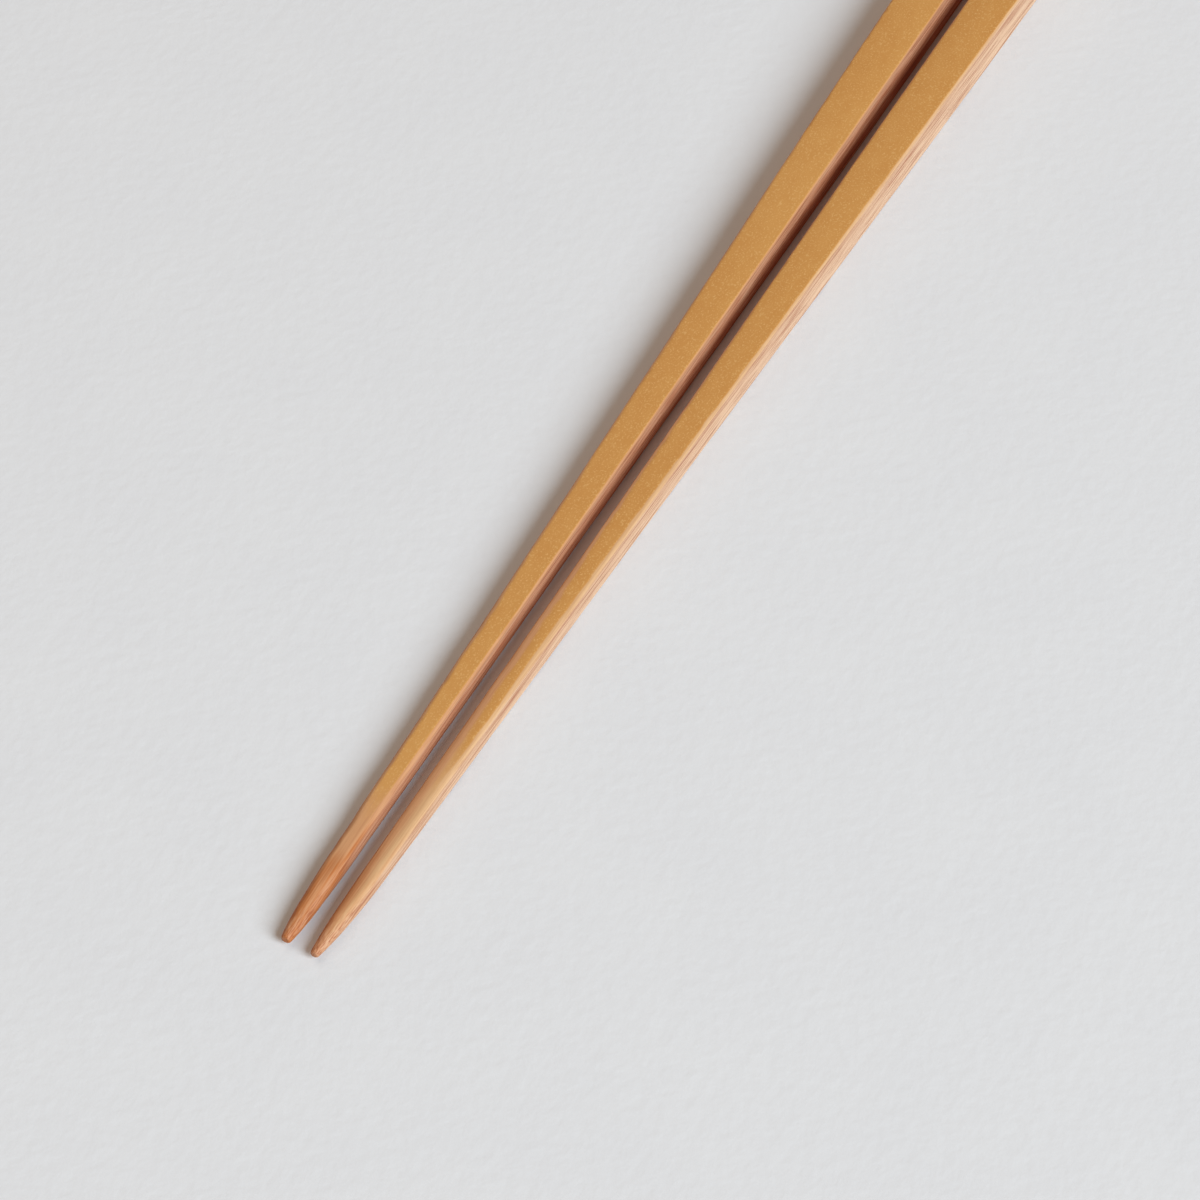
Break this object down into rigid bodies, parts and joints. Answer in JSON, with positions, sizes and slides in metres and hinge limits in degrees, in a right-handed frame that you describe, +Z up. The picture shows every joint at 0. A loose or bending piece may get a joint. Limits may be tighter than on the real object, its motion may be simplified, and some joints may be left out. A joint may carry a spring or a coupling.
{
  "type": "pair of bamboo chopsticks",
  "caption": "Square tapered bamboo chopsticks with rounded, turned points for picking up food, lying side by side with the skin side up.",
  "frame": {"origin": "middle of the pair's outline seen from above, on the surface that the sticks lie on", "axes": "+Y along the sticks from the tips to the heads, +X from the left stick to the right one, +Z up out of the surface"},
  "size_m": [0.0183, 0.2304, 0.0065],
  "materials": {
    "bamboo": "satin"
  },
  "bodies": {
    "root": {"chopstick_left": "bamboo", "chopstick_right": "bamboo"}
  },
  "joints": []
}
